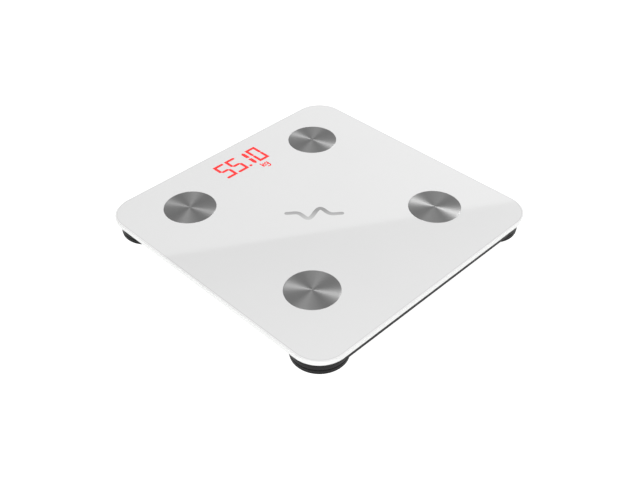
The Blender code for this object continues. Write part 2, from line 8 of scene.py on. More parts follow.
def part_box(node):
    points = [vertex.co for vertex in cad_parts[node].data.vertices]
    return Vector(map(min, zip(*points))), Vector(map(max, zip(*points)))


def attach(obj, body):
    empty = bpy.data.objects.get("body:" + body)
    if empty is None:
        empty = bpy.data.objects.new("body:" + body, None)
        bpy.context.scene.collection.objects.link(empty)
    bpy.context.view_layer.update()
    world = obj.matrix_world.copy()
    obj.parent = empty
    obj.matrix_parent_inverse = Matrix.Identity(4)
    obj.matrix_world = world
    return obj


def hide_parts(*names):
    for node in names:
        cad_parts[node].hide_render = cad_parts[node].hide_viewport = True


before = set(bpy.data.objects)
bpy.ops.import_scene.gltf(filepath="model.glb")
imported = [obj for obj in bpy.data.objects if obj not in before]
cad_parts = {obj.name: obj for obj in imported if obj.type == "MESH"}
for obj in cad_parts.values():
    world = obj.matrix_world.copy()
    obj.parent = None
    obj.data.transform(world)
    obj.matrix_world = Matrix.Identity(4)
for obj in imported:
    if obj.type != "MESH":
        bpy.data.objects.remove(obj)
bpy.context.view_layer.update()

CORNERS = ("front_left", "front_right", "back_left", "back_right")
GLASS_LOW, GLASS_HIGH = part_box("glass_platform")
GLASS_TOP = GLASS_HIGH.z
MM = 0.001

# ------------------------------------------------------------------ camera

CAMERA_AZIMUTH, CAMERA_ELEVATION, CAMERA_ROLL = -44.80, 39.52, -0.43
CAMERA_DISTANCE = 0.8552
CAMERA_TARGET = Vector((-0.0311, -0.0320, GLASS_TOP))
CAMERA_LENS = 50.94


def view_back():
    """The direction from the target to the camera."""
    a, e = math.radians(CAMERA_AZIMUTH), math.radians(CAMERA_ELEVATION)
    return Vector((math.sin(a) * math.cos(e), -math.cos(a) * math.cos(e), math.sin(e)))


def make_camera():
    camera = bpy.data.objects.new("camera", bpy.data.cameras.new("camera"))
    camera.data.lens = CAMERA_LENS
    camera.data.clip_start = 0.01
    camera.location = CAMERA_TARGET + view_back() * CAMERA_DISTANCE
    roll = Matrix.Rotation(math.radians(CAMERA_ROLL), 4, "Z")
    turn = view_back().to_track_quat("Z", "Y").to_matrix().to_4x4()
    camera.matrix_world = Matrix.Translation(camera.location) @ turn @ roll
    bpy.context.scene.collection.objects.link(camera)
    bpy.context.scene.camera = camera
    return camera


# --------------------------------------------------------------- materials

DARK_SHEEN = 0.14  # specular level of the dark plastic and rubber
BRUSH_RINGS, BRUSH_DEPTH = 600.0, 0.001 * MM  # the scale of the brushed rings, and how deep they are


class Finish:
    """A Principled material that is built up from procedural nodes, in the object's own metres."""

    def __init__(self, name, colour, roughness, metallic=0.0, **sockets):
        self.material = bpy.data.materials.new(name)
        self.material.use_nodes = True
        self.material.diffuse_color = (*colour, 1.0)
        self.tree = self.material.node_tree
        self.shader = self.tree.nodes["Principled BSDF"]
        self.colour = colour
        self.normal = None
        self.set("Base Color", (*colour, 1.0))
        self.set("Roughness", roughness)
        self.set("Metallic", metallic)
        for socket, value in sockets.items():
            self.set(socket.replace("_", " "), value)
        self.place = self.tree.nodes.new("ShaderNodeTexCoord").outputs["Object"]

    def set(self, socket, value):
        self.shader.inputs[socket].default_value = value

    def node(self, kind, **inputs):
        made = self.tree.nodes.new(f"ShaderNode{kind}")
        for name, value in inputs.items():
            socket = made.inputs[name.replace("_", " ")]
            if isinstance(value, bpy.types.NodeSocket):
                self.tree.links.new(value, socket)
            else:
                socket.default_value = value
        return made

    def noise(self, size, detail=2.0):
        """Noise whose blotches are about size metres across."""
        return self.node("TexNoise", Vector=self.place, Scale=1 / size, Detail=detail).outputs["Fac"]

    def between(self, factor, low, high):
        """Spreads the middle of a noise, where most of its values lie, from low to high."""
        made = self.node("MapRange", Value=factor, From_Min=0.3, From_Max=0.7, To_Min=low, To_Max=high)
        return made.outputs["Result"]

    def ramp(self, factor, low, high, socket="Base Color"):
        """Colours the socket from low to high as factor goes from 0 to 1."""
        made = self.node("ValToRGB", Fac=factor)
        made.color_ramp.elements[0].color = (*low, 1.0)
        made.color_ramp.elements[1].color = (*high, 1.0)
        self.tree.links.new(made.outputs["Color"], self.shader.inputs[socket])

    def drift(self, size, share):
        """The colour wanders by share either way."""
        low, high = ([min(1.0, c * scale) for c in self.colour] for scale in (1 - share, 1 + share))
        self.ramp(self.between(self.noise(size, 3.0), 0, 1), low, high)
        return self

    def patchy(self, size, low, high):
        """The roughness wanders between low and high."""
        self.tree.links.new(self.between(self.noise(size, 4.0), low, high), self.shader.inputs["Roughness"])
        return self

    def bump(self, height, distance):
        made = self.node("Bump", Height=height, Distance=distance, Strength=1.0)
        if self.normal:
            self.tree.links.new(self.normal, made.inputs["Normal"])
        self.normal = made.outputs["Normal"]
        self.tree.links.new(self.normal, self.shader.inputs["Normal"])
        return self

    def grain(self, size, depth):
        """A fine moulded texture, size across and depth deep."""
        return self.bump(self.noise(size), depth)


def make_finishes():
    made = {
        # Printed glass: even white ink under a polished face.
        "plate": Finish("printed_glass", (0.63, 0.63, 0.63), 0.03, IOR=1.6).drift(0.06, 0.004),
        # The edge and the clear rim are lighter than the plate: a painted highlight along the glass edge.
        "edge": Finish("glass_edge_painted_highlight", (0.69, 0.695, 0.69), 0.06, IOR=1.5).drift(0.02, 0.008),
        "rim": Finish("clear_rim_painted_highlight", (0.69, 0.69, 0.69), 0.03, IOR=1.6).drift(0.02, 0.006),
        # A darker ring at the end of the print: a painted shade line along the glass edge.
        "painted_shade_line": Finish("painted_shade_line", (0.50, 0.50, 0.50), 0.03, IOR=1.6).drift(0.02, 0.01),
        "motif": Finish("grey_ink", (0.40, 0.40, 0.40), 0.03, IOR=1.5),
        "steel": Finish("brushed_electrode", (0.305, 0.305, 0.305), 0.477, metallic=1.0, Anisotropic=0.83),
        "plated": Finish("plated_steel", (0.62, 0.61, 0.58), 0.34, metallic=1.0).drift(0.004, 0.10),
        "plastic": Finish("charcoal_plastic", (0.010, 0.010, 0.0102), 0.50, Specular_IOR_Level=DARK_SHEEN),
        "rubber": Finish("foot_rubber", (0.011, 0.011, 0.011), 0.70, Specular_IOR_Level=DARK_SHEEN),
        "foam": Finish("gasket_foam", (0.09, 0.09, 0.09), 0.95).drift(0.001, 0.30),
        "lacquer": Finish("board_lacquer", (0.02, 0.15, 0.06), 0.35).drift(0.003, 0.25),
        "chip": Finish("chip_black", (0.015, 0.015, 0.016), 0.50).drift(0.002, 0.15),
        "module": Finish("display_red", (0.30, 0.02, 0.02), 0.35).drift(0.01, 0.10),
        "film": Finish("diffuser_film", (0.85, 0.85, 0.85), 0.55).drift(0.01, 0.04),
        "jacket": Finish("battery_jacket", (0.10, 0.12, 0.30), 0.28).drift(0.01, 0.10),
        "wire": Finish("wire_insulation", (0.60, 0.05, 0.04), 0.45).drift(0.01, 0.10),
        "label": Finish("blank_label", (0.62, 0.62, 0.62), 0.40).drift(0.01, 0.03),
        "led": Finish("led_light", (0.02, 0.0, 0.0), 0.03, IOR=1.5),
    }
    made["plate"].patchy(0.05, 0.022, 0.040)
    made["plastic"].drift(0.006, 0.10).patchy(0.01, 0.40, 0.50).grain(0.0005, 0.00004)
    made["rubber"].drift(0.004, 0.15).grain(0.0008, 0.00006)
    made["foam"].grain(0.0006, 0.00010)
    made["lacquer"].grain(0.002, 0.00003)
    made["chip"].grain(0.0003, 0.00002)
    made["film"].grain(0.0004, 0.00001)
    made["jacket"].patchy(0.004, 0.22, 0.34)
    made["wire"].grain(0.001, 0.00002)
    made["plated"].patchy(0.003, 0.28, 0.42)
    made["edge"].patchy(0.004, 0.04, 0.09)
    make_brushed(made["steel"])
    make_led(made["led"])
    make_ink_fade(made["motif"])
    return made


def make_brushed(finish):
    """Circular brushing: fine rings, and a highlight that spreads across them."""
    tangent = finish.node("Tangent")
    tangent.direction_type = "RADIAL"
    tangent.axis = "Z"
    finish.tree.links.new(tangent.outputs["Tangent"], finish.shader.inputs["Tangent"])
    finish.set("Anisotropic Rotation", 0.25)
    rings = finish.node("TexWave", Vector=finish.place, Scale=BRUSH_RINGS, Distortion=4.0, Detail=3.0)
    rings.wave_type = "RINGS"
    rings.rings_direction = "Z"
    finish.bump(rings.outputs["Fac"], BRUSH_DEPTH)
    low, high = ([c * share for c in finish.colour] for share in (0.92, 1.06))
    finish.ramp(rings.outputs["Fac"], low, high)


def make_led(finish):
    """Red light through the print, a little uneven as on a real LED bar."""
    finish.ramp(finish.noise(0.002), (0.92, 0.0, 0.0), (1.0, 0.004, 0.004), "Emission Color")
    finish.set("Emission Strength", 1.0)


def make_ink_fade(finish):
    """Grey ink that fades lighter towards the user."""
    across = finish.node("SeparateXYZ", Vector=finish.place).outputs["Y"]
    reach = finish.node("MapRange", Value=across, From_Min=-MOTIF_HEIGHT, From_Max=MOTIF_HEIGHT * 0.5)
    finish.ramp(reach.outputs["Result"], (0.50, 0.50, 0.50), (0.27, 0.27, 0.27))


# ------------------------------------------------------------------ shapes


def rounded(corners, steps):
    """An open line of (x, y, radius) corners, with an arc at each that has a radius."""
    line = []
    for i, (x, y, radius) in enumerate(corners):
        here = Vector((x, y))
        if not radius:
            line.append(here)
            continue
        to_last = (Vector(corners[i - 1][:2]) - here).normalized()
        to_next = (Vector(corners[i + 1][:2]) - here).normalized()
        half = to_last.angle(to_next) / 2
        centre = here + (to_last + to_next).normalized() * radius / math.sin(half)
        first = here + to_last * radius / math.tan(half) - centre
        last = here + to_next * radius / math.tan(half) - centre
        sweep = first.angle(last)
        for step in range(steps + 1):
            t = step / steps
            spoke = (first * math.sin((1 - t) * sweep) + last * math.sin(t * sweep)) / math.sin(sweep)
            line.append(centre + spoke)
    return line


def rounded_rectangle(half_x, half_y, radius, steps, x=0.0, y=0.0):
    """An outline about (x, y), counter-clockwise, with an arc of so many steps at each corner."""
    points = []
    for sx, sy, start in ((1, 1, 0), (-1, 1, 90), (-1, -1, 180), (1, -1, 270)):
        arc_x, arc_y = x + sx * (half_x - radius), y + sy * (half_y - radius)
        for step in range(steps + 1):
            a = math.radians(start + 90 * step / steps)
            points.append((arc_x + radius * math.cos(a), arc_y + radius * math.sin(a)))
    return points


def skinned(loops):
    """A closed solid through loops of points; a loop of one repeated point becomes a tip."""
    bm = bmesh.new()
    rings = []
    for loop in loops:
        if len(set(loop)) == 1:
            rings.append([bm.verts.new(loop[0])] * len(loop))
        else:
            rings.append([bm.verts.new(point) for point in loop])
    for low, high in zip(rings, rings[1:]):
        for i in range(len(low)):
            j = (i + 1) % len(low)
            bm.faces.new(dict.fromkeys((low[i], low[j], high[j], high[i])))
    for ring, flip in ((rings[0], True), (rings[-1], False)):
        if len(set(ring)) > 1:
            bm.faces.new(list(reversed(ring)) if flip else ring)
    return bm


def lathe(profile, steps):
    """A line of (radius, z) points turned about Z, from the axis round the outside and back to the axis."""
    loops = []
    for radius, z in profile:
        turn = [2 * math.pi * i / steps for i in range(steps)]
        loops.append([(radius * math.cos(a), radius * math.sin(a), z) for a in turn])
    return skinned(loops)


def prism(outline, low, high, arris):
    """An outline raised from low to high; the arris draws both its edges in towards its middle."""
    levels = [(arris, low), (0.0, low + arris), (0.0, high - arris), (arris, high)]
    mid = sum((Vector(p) for p in outline), Vector((0.0, 0.0))) / len(outline)
    loops = []
    for inset, z in levels:
        ring = []
        for p in outline:
            away = Vector(p) - mid
            point = mid + away * (1 - inset / away.length)
            ring.append((point.x, point.y, z))
        loops.append(ring)
    return skinned(loops)


def gather(whole, bm):
    """Adds bm's faces to whole's, and frees bm."""
    mesh = bpy.data.meshes.new("gathered")
    bm.to_mesh(mesh)
    bm.free()
    whole.from_mesh(mesh)
    bpy.data.meshes.remove(mesh)


SHARP_ANGLE = math.radians(35)  # faces that meet at more than this keep a sharp edge between them


def placed(name, bm, finish, body="scale_body", replaces=(), location=(0.0, 0.0, 0.0)):
    """A smooth-shaded piece made of bm, which rides on a body and may stand for CAD nodes."""
    mesh = bpy.data.meshes.new(name)
    bm.to_mesh(mesh)
    bm.free()
    mesh.shade_smooth()
    mesh.set_sharp_from_angle(angle=SHARP_ANGLE)
    mesh.materials.append(finish.material)
    made = bpy.data.objects.new(name, mesh)
    made.location = location
    bpy.context.scene.collection.objects.link(made)
    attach(made, body)
    if replaces:
        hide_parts(*replaces)
    return made


def middle(node):
    low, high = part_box(node)
    return (low + high) / 2


def weight_normals(piece):
    """Lets the large faces set the shading, so that flats look flat up to their rounded edges."""
    modifier = piece.modifiers.new("Weighted Normal", "WEIGHTED_NORMAL")
    modifier.keep_sharp = True
    modifier.weight = 100


# ---------------------------------------------------------------- platform

ELECTRODE_SEAT = 0.05 * MM  # the gap round each electrode
RECESS_DEPTH = 1.0 * MM  # from the electrode's face to the floor of its recess
DISC_STEPS = 128  # round each electrode and its recess
STUD_R, THREAD_DEPTH, THREAD_TURNS = 2.0 * MM, 0.35 * MM, 12
DISC_THICK, DISC_ARRIS = 0.7 * MM, 0.22 * MM
FACE_RINGS, FACE_DIP = 16, 0.004 * MM  # rings on the electrode's face, and how far its middle sinks
PLATE_CORNER = 28.8 * MM
PLATE_ARRIS, PLATE_ROUNDING = 0.3 * MM, 0.25 * MM
SHADE_LINE_INSET, PRINT_RIM = 2.1 * MM, 1.6 * MM  # how far in from the edge the print is darkened by a painted shade line, and where the print ends


def make_plate(finishes):
    """The glass plate, with its ground and polished edge and a recess round each electrode."""
    half = GLASS_HIGH.x
    section = rounded(
        [
            (SHADE_LINE_INSET, GLASS_LOW.z, 0),
            (PLATE_ARRIS, GLASS_LOW.z, PLATE_ROUNDING),
            (0.0, GLASS_LOW.z + PLATE_ARRIS, PLATE_ROUNDING),
            (0.0, GLASS_TOP - PLATE_ARRIS, PLATE_ROUNDING),
            (PLATE_ARRIS, GLASS_TOP, PLATE_ROUNDING),
            (PRINT_RIM, GLASS_TOP, 0),
            (SHADE_LINE_INSET, GLASS_TOP, 0),
        ],
        3,
    )
    loops = []
    for inset, z in section:
        outline = rounded_rectangle(half - inset, half - inset, PLATE_CORNER - inset, 32)
        loops.append([(x, y, z) for x, y in outline])
    whole = skinned(loops)
    plate = placed("glass_plate", whole, finishes["plate"], replaces=("glass_platform",))
    for finish in ("edge", "rim", "painted_shade_line"):
        plate.data.materials.append(finishes[finish].material)
    # The faces run ring by ring from the underside up, and the two caps come after them.
    # The last two rings are the clear rim, painted lighter as a highlight, and the end of the print, painted
    # darker as a shade line.
    rings = [1] * (len(loops) - 3) + [2, 3]
    for face in plate.data.polygons:
        ring = face.index // len(loops[0])
        if ring < len(rings):
            face.material_index = rings[ring]

    low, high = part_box("electrode_front_left")
    seat, radius, above = high.z - RECESS_DEPTH, (high.x - low.x) / 2 + ELECTRODE_SEAT, GLASS_TOP + MM
    recesses = bmesh.new()
    for corner in CORNERS:
        recess = lathe([(0, seat), (radius, seat), (radius, above), (0, above)], DISC_STEPS)
        at = middle(f"electrode_{corner}")
        recess.transform(Matrix.Translation((at.x, at.y, 0)))
        gather(recesses, recess)
    apply_cut(plate, recesses)
    weight_normals(plate)


def apply_cut(piece, bm):
    """Cuts bm out of the piece's mesh for good."""
    mesh = bpy.data.meshes.new("cutter")
    bm.to_mesh(mesh)
    bm.free()
    cutter = bpy.data.objects.new("cutter", mesh)
    bpy.context.scene.collection.objects.link(cutter)
    modifier = piece.modifiers.new("Cut", "BOOLEAN")
    modifier.object = cutter
    modifier.operation = "DIFFERENCE"
    graph = bpy.context.evaluated_depsgraph_get()
    result = bpy.data.meshes.new_from_object(piece.evaluated_get(graph))
    piece.modifiers.remove(modifier)
    piece.data = result
    bpy.data.objects.remove(cutter)


def make_electrodes(finish):
    """Brushed discs, each with a threaded stud below it."""
    edge, root_r = DISC_ARRIS, STUD_R - THREAD_DEPTH
    for corner in CORNERS:
        node = f"electrode_{corner}"
        low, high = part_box(node)
        at = middle(node)
        radius, under = (high.x - low.x) / 2, high.z - DISC_THICK
        stud = under - low.z
        profile = [(0, low.z, 0), (root_r, low.z, 0)]
        for i in range(THREAD_TURNS):
            z = low.z + stud * (i + 0.5) / THREAD_TURNS
            profile += [(STUD_R, z, 0), (root_r, z + stud * 0.5 / THREAD_TURNS, 0)]
        profile += [(STUD_R, under, 0), (radius - edge, under, edge / 2), (radius, under + edge, edge / 3)]
        profile += [(radius, high.z - edge, edge / 2), (radius - edge, high.z, edge / 2)]
        # Rings on the face keep its normals upright, and sink a hair towards the middle.
        for i in range(FACE_RINGS):
            share = (i + 1) / FACE_RINGS
            profile.append(((radius - edge) * (1 - share), high.z - FACE_DIP * share, 0))
        disc = lathe(rounded(profile, 3), DISC_STEPS)
        place = (at.x, at.y, 0)
        placed(f"{node}_disc", disc, finish, replaces=(node,), location=place)


# ------------------------------------------------------------- the readout

PRINT_PROUD, PRINT_DEEP = 0.02 * MM, 0.2 * MM  # how far the print reaches above and below the face
MITRE_LIMIT = 0.3  # a mitre reaches no further than half a stroke's width divided by this
ROUND_END_STEPS = 8


def ribbon(points, half_width, round_ends=True):
    """The outline of a stroke along a line of points, mitred at its corners."""
    line = [Vector(p) for p in points]
    left, right = [], []
    for i, here in enumerate(line):
        before = (here - line[i - 1]).normalized() if i else None
        after = (line[i + 1] - here).normalized() if i + 1 < len(line) else None
        along = ((before or after) + (after or before)).normalized()
        across = Vector((-along.y, along.x))
        spread = half_width / max(MITRE_LIMIT, along.dot(before or after))
        left.append(here + across * spread)
        right.append(here - across * spread)
    start, end = [], []
    if round_ends:
        for cap, tip, back in ((start, line[0], line[1]), (end, line[-1], line[-2])):
            out = (tip - back).normalized()
            side = Vector((-out.y, out.x))
            for step in range(1, ROUND_END_STEPS):
                a = math.pi * step / ROUND_END_STEPS
                cap.append(tip + side * half_width * math.cos(a) + out * half_width * math.sin(a))
    # Right side forwards, round the far end, left side back, round the near end: counter-clockwise.
    return right + end[::-1] + left[::-1] + start[::-1]


def thin_print(name, strokes, finish, origin):
    """Flat strokes at the glass's face, each an outline in its own plane."""
    whole = bmesh.new()
    for outline in strokes:
        gather(whole, skinned([[(p[0], p[1], z) for p in outline] for z in (-PRINT_DEEP, PRINT_PROUD)]))
    bmesh.ops.recalc_face_normals(whole, faces=whole.faces)
    return placed(name, whole, finish, location=(origin[0], origin[1], GLASS_TOP))


DIGIT_W, DIGIT_H = 9.9 * MM, 22.7 * MM  # between stroke centres
STROKE = 1.6 * MM  # half a stroke's width
DIGIT_GAP = 2.1 * MM
DIGIT_BASE_Y = 106.7 * MM
DIGITS = (("5", -25.3 * MM), ("5", -9.9 * MM), ("1", 12.7 * MM), ("0", 19.0 * MM))
POINT_AT, POINT_R = (5.4 * MM, 106.8 * MM), 1.7 * MM
UNIT_AT, UNIT_H = (13.6 * MM, 95.3 * MM), 6.5 * MM


def digit_strokes(digit):
    """The outlines of one digit's lit bars."""
    w, h, g = DIGIT_W, DIGIT_H, DIGIT_GAP
    mid = h / 2
    if digit == "5":
        return [
            ribbon([(w, h), (0, h), (0, mid + g)], STROKE),
            ribbon([(g, mid), (w - g, mid)], STROKE),
            ribbon([(w, mid - g), (w, 0), (0, 0)], STROKE),
        ]
    if digit == "0":
        return [
            ribbon([(0, mid + g * 0.8), (0, h), (w, h), (w, mid + g * 0.8)], STROKE),
            ribbon([(w, mid - g * 0.8), (w, 0), (0, 0), (0, mid - g * 0.8)], STROKE),
        ]
    # The one is lit on two neighbouring bars, so its strokes are double width with slanted ends.
    bar, slant = 2.05 * MM, 1.6 * MM
    upper = [(-bar, mid + slant * 1.2), (bar * 0.7, mid + slant * 0.3), (bar, mid + slant), (bar, h - slant)]
    upper += [(bar * 0.3, h + slant * 0.4), (-bar * 0.3, h + slant * 0.2), (-bar, h - slant * 1.2)]
    return [upper, [(-x, h - y) for x, y in upper]]


def unit_strokes():
    """The unit's two letters, drawn as strokes."""
    h, s = UNIT_H, 0.66 * MM
    arm, bowl, bowl_x, bowl_y, foot = 2.6 * MM, 1.9 * MM, 5.7 * MM, 2.9 * MM, -1.2 * MM
    right = bowl_x + bowl

    def bend(height, start, end):
        angles = [math.radians(start + (end - start) * i / 12) for i in range(13)]
        return [(bowl_x + bowl * math.cos(a), height + bowl * math.sin(a)) for a in angles]

    return [
        ribbon([(0, 0), (0, h)], s),
        ribbon([(0.5 * MM, h * 0.34), (arm, h * 0.70)], s),
        ribbon([(1.2 * MM, h * 0.46), (arm, 0)], s),
        ribbon(bend(bowl_y, 20, 340), s),
        ribbon([(right, bowl_y + bowl)] + [(right, foot)] + bend(foot, -15, -150), s),
    ]


def make_readout(finish):
    for i, (digit, x) in enumerate(DIGITS):
        thin_print(f"readout_digit_{i + 1}", digit_strokes(digit), finish, (x, DIGIT_BASE_Y))
    turn = [math.radians(15 * i) for i in range(24)]
    dot = [(POINT_R * math.cos(a), POINT_R * math.sin(a)) for a in turn]
    thin_print("readout_point", [dot], finish, POINT_AT)
    thin_print("readout_unit", unit_strokes(), finish, UNIT_AT)


MOTIF_AT, MOTIF_TURN = (-6.0 * MM, 1.0 * MM), math.radians(-45)
MOTIF_HALF, MOTIF_HEIGHT, MOTIF_STROKE = 27 * MM, 10.5 * MM, 2.3 * MM
MOTIF_BEAT, MOTIF_CALM = 15 * MM, 13 * MM  # half a wave, and how fast the wave dies away
MOTIF_STEPS = 96


def make_motif(finish):
    """A plain pulse wave in grey ink."""
    line = []
    for i in range(MOTIF_STEPS + 1):
        x = MOTIF_HALF * (2 * i / MOTIF_STEPS - 1)
        wave = MOTIF_HEIGHT * math.sin(math.pi * x / MOTIF_BEAT)
        line.append((x, wave * math.exp(-((x / MOTIF_CALM) ** 2))))
    motif = thin_print("pulse_motif", [ribbon(line, MOTIF_STROKE)], finish, MOTIF_AT)
    motif.rotation_euler.z = MOTIF_TURN


# -------------------------------------------------------------------- feet

FOOT_STEPS = 96
WIRE_SLOT = (4 * MM, 6 * MM, 2.8 * MM)  # where the load cell's wire leaves the housing
WIRE_SLOT_HEIGHT = 3.7 * MM  # of its middle, above the housing's foot
GROOVES, GROOVE_PITCH, GROOVE_DEPTH = 5, 4.0 * MM, 0.5 * MM
GROOVE_MOUTH, GROOVE_BED = 0.6 * MM, 0.3 * MM  # half widths


def make_feet(finishes):
    for corner in CORNERS:
        make_housing(corner, finishes["plastic"])
        make_cap(corner, finishes["plastic"])
        make_pad(corner, finishes["rubber"])


def make_housing(corner, finish):
    """The fixed housing: a cup, open below, with a slot for the wire on its inner side."""
    node = f"sensor_housing_{corner}"
    low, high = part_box(node)
    at, radius, soft = middle(node), (high.x - low.x) / 2, 0.5 * MM
    wall, roof = 1.6 * MM, 2.0 * MM
    profile = rounded(
        [
            (0, high.z - roof, 0),
            (radius - wall, high.z - roof, soft),
            (radius - wall, low.z, 0.3 * MM),
            (radius, low.z, 0.5 * MM),
            (radius, high.z, 0.3 * MM),
            (0, high.z, 0),
        ],
        4,
    )
    cup, place = lathe(profile, FOOT_STEPS), (at.x, at.y, 0)
    housing = placed(f"{node}_shell", cup, finish, replaces=(node,), location=place)
    inward = -math.copysign(1, at.x)
    opening = bmesh.new()
    bmesh.ops.create_cube(opening, size=1.0)
    opening.transform(Matrix.Diagonal((*WIRE_SLOT, 1)))
    opening.transform(Matrix.Translation((inward * (radius - wall / 2), 0, low.z + WIRE_SLOT_HEIGHT)))
    apply_cut(housing, opening)


def make_cap(corner, finish):
    """The sliding cap: a rounded rim, a skirt inside the housing and a plunger."""
    node = f"foot_cap_{corner}"
    low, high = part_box(node)
    at, radius = middle(node), (high.x - low.x) / 2
    rim_top = low.z + 2.5 * MM
    skirt_r, skirt_top, skirt_wall = radius - 2.1 * MM, low.z + 5.1 * MM, 1.2 * MM
    plunger_r = 6.0 * MM
    profile = rounded(
        [
            (0, low.z, 0),
            (radius, low.z, 0.25 * MM),
            (radius, rim_top, 0.35 * MM),
            (skirt_r, rim_top, 0.2 * MM),
            (skirt_r, skirt_top, 0.3 * MM),
            (skirt_r - skirt_wall, skirt_top, 0.3 * MM),
            (skirt_r - skirt_wall, rim_top, 0.2 * MM),
            (plunger_r, rim_top, 0.3 * MM),
            (plunger_r, high.z, 0.5 * MM),
            (0, high.z, 0),
        ],
        3,
    )
    placed(
        f"{node}_shell",
        lathe(profile, FOOT_STEPS),
        finish,
        body=f"foot_{corner}",
        replaces=(node,),
        location=(at.x, at.y, 0),
    )


def make_pad(corner, finish):
    """The rubber pad, with turned grooves in its underside."""
    node = f"foot_pad_{corner}"
    low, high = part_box(node)
    at, radius = middle(node), (high.x - low.x) / 2
    bed = low.z + GROOVE_DEPTH
    corners = [(0, low.z, 0)]
    for i in range(GROOVES):
        r = GROOVE_PITCH * (i + 1)
        corners += [(r - GROOVE_MOUTH, low.z, 0), (r - GROOVE_BED, bed, 0)]
        corners += [(r + GROOVE_BED, bed, 0), (r + GROOVE_MOUTH, low.z, 0)]
    corners += [(radius, low.z, 0.4 * MM), (radius, high.z, 0.1 * MM), (0, high.z, 0)]
    placed(
        f"{node}_tread",
        lathe(rounded(corners, 4), FOOT_STEPS),
        finish,
        body=f"foot_{corner}",
        replaces=(node,),
        location=(at.x, at.y, 0),
    )


# ------------------------------------------------------------ tray and bay

GRIP_RIBS, RIB_PITCH, RIB_FIRST = 4, 1.6 * MM, 3.0 * MM  # the first rib's distance from the door's edge
RIB_HALF, RIB_R, RIB_END, RIB_SIDES = 9 * MM, 0.35 * MM, 0.4, 12  # the ends narrow to a share of the radius
BUTTON_PROUD = 0.4 * MM  # how far the unit button stands below the tray's underside
LABEL_HALF_X, LABEL_HALF_Y, LABEL_CORNER, LABEL_Y = 30 * MM, 14 * MM, 2 * MM, -60 * MM
LABEL_PROUD, LABEL_SUNK, LABEL_ARRIS = 0.12 * MM, 0.05 * MM, 0.03 * MM


def refined(node, finish, body, width):
    """A copy of a moulded CAD node with its edges rounded, as wide as width."""
    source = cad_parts[node].data
    bm = bmesh.new()
    bm.from_mesh(source)
    bmesh.ops.remove_doubles(bm, verts=bm.verts, dist=0.00001)
    bmesh.ops.dissolve_limit(bm, angle_limit=math.radians(1), verts=bm.verts, edges=bm.edges)
    piece = placed(f"{node}_moulding", bm, finish, body=body, replaces=(node,))
    bevel = piece.modifiers.new("Bevel", "BEVEL")
    bevel.width = width
    bevel.segments = 3
    bevel.limit_method = "ANGLE"
    bevel.angle_limit = math.radians(40)
    weight_normals(piece)


def make_door_grip(finish):
    """Raised ribs on the battery door, where a thumb presses."""
    low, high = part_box("battery_door")
    turn = [2 * math.pi * i / RIB_SIDES for i in range(RIB_SIDES)]
    full = RIB_HALF - RIB_R
    whole = bmesh.new()
    for i in range(GRIP_RIBS):
        y = high.y - RIB_FIRST - i * RIB_PITCH
        loops = []
        for x, share in ((-RIB_HALF, RIB_END), (-full, 1.0), (full, 1.0), (RIB_HALF, RIB_END)):
            r = share * RIB_R
            loops.append([(x, y + r * math.cos(a), low.z + r * math.sin(a)) for a in turn])
        gather(whole, skinned(loops))
    bmesh.ops.recalc_face_normals(whole, faces=whole.faces)
    placed("battery_door_grip", whole, finish, body="battery_door")


def make_label(finish):
    """A blank rating label on the tray's underside, towards the user's end."""
    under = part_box("unit_button")[0].z + BUTTON_PROUD
    outline = rounded_rectangle(LABEL_HALF_X, LABEL_HALF_Y, LABEL_CORNER, 8, 0, LABEL_Y)
    label = prism(outline, under - LABEL_PROUD, under + LABEL_SUNK, LABEL_ARRIS)
    placed("blank_label", label, finish)


def make_battery(number, finishes):
    """A cell with rounded shoulders, a bare metal rim at each end and its tip."""
    node = f"battery_{number}"
    low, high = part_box(node)
    at = middle(node)
    tip_forward = number % 2 == 1
    length, radius = high.x - low.x, (high.z - low.z) / 2
    tip, tip_r = 0.9 * MM, 1.9 * MM
    body = length - tip
    rim = 1.0 * MM
    shoulder = 0.3 * MM
    jacket = rounded(
        [(0, rim, 0), (radius, rim, shoulder), (radius, body - rim, shoulder), (0, body - rim, 0)],
        4,
    )
    metal_r = radius - 0.15 * MM
    core = rounded(
        [
            (0, 0, 0),
            (metal_r, 0, 0.7 * MM),
            (metal_r, body, 0.7 * MM),
            (tip_r, body, 0.2 * MM),
            (tip_r, body + tip, 0.5 * MM),
            (0, body + tip, 0),
        ],
        4,
    )
    for name, profile, finish, slot, stands_for in (
        (f"{node}_jacket", jacket, "jacket", "battery_jacket", (node,)),
        (f"{node}_can", core, "plated", "plated_steel", ()),
    ):
        bm = lathe(profile, 48)
        bm.transform(Matrix.Rotation(math.pi / 2 if tip_forward else -math.pi / 2, 4, "Y"))
        start = low.x if tip_forward else high.x
        placed(name, bm, finishes[finish], replaces=stands_for, location=(start, at.y, at.z))


def at_corners(*kinds):
    return [f"{kind}_{corner}" for kind in kinds for corner in CORNERS]


def finish_hidden_nodes(finishes):
    """Gives the CAD nodes that stay their detailed material."""
    pairs = [f"{kind}_{side}" for kind in ("battery_contact", "board_screw") for side in ("left", "right")]
    plan = {
        "plated": ["radio_module", *pairs, *at_corners("electrode_nut", "load_cell")],
        "foam": ["bonding_gasket"],
        "lacquer": ["main_board"],
        "chip": ["controller_chip", "unit_switch"],
        "module": ["display_module"],
        "film": ["display_diffuser"],
        "wire": ["battery_lead", *at_corners("load_cell_wire", "electrode_wire")],
    }
    for finish, names in plan.items():
        for name in names:
            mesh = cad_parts[name].data
            mesh.materials.clear()
            mesh.materials.append(finishes[finish].material)


# ------------------------------------------------------------------ studio

WORLD_LEVEL = 0.40
KEY_AT, KEY_SIZE, KEY_POWER = Vector((1.31, -0.17, 0.92)), 0.40, 15.5
RIM_AT, RIM_SIZE, RIM_POWER = Vector((-0.97, 0.22, 1.76)), 0.78, 10.0
FILL_AT, FILL_SIZE, FILL_POWER = Vector((-1.75, -1.75, 1.65)), 3.00, 60.0

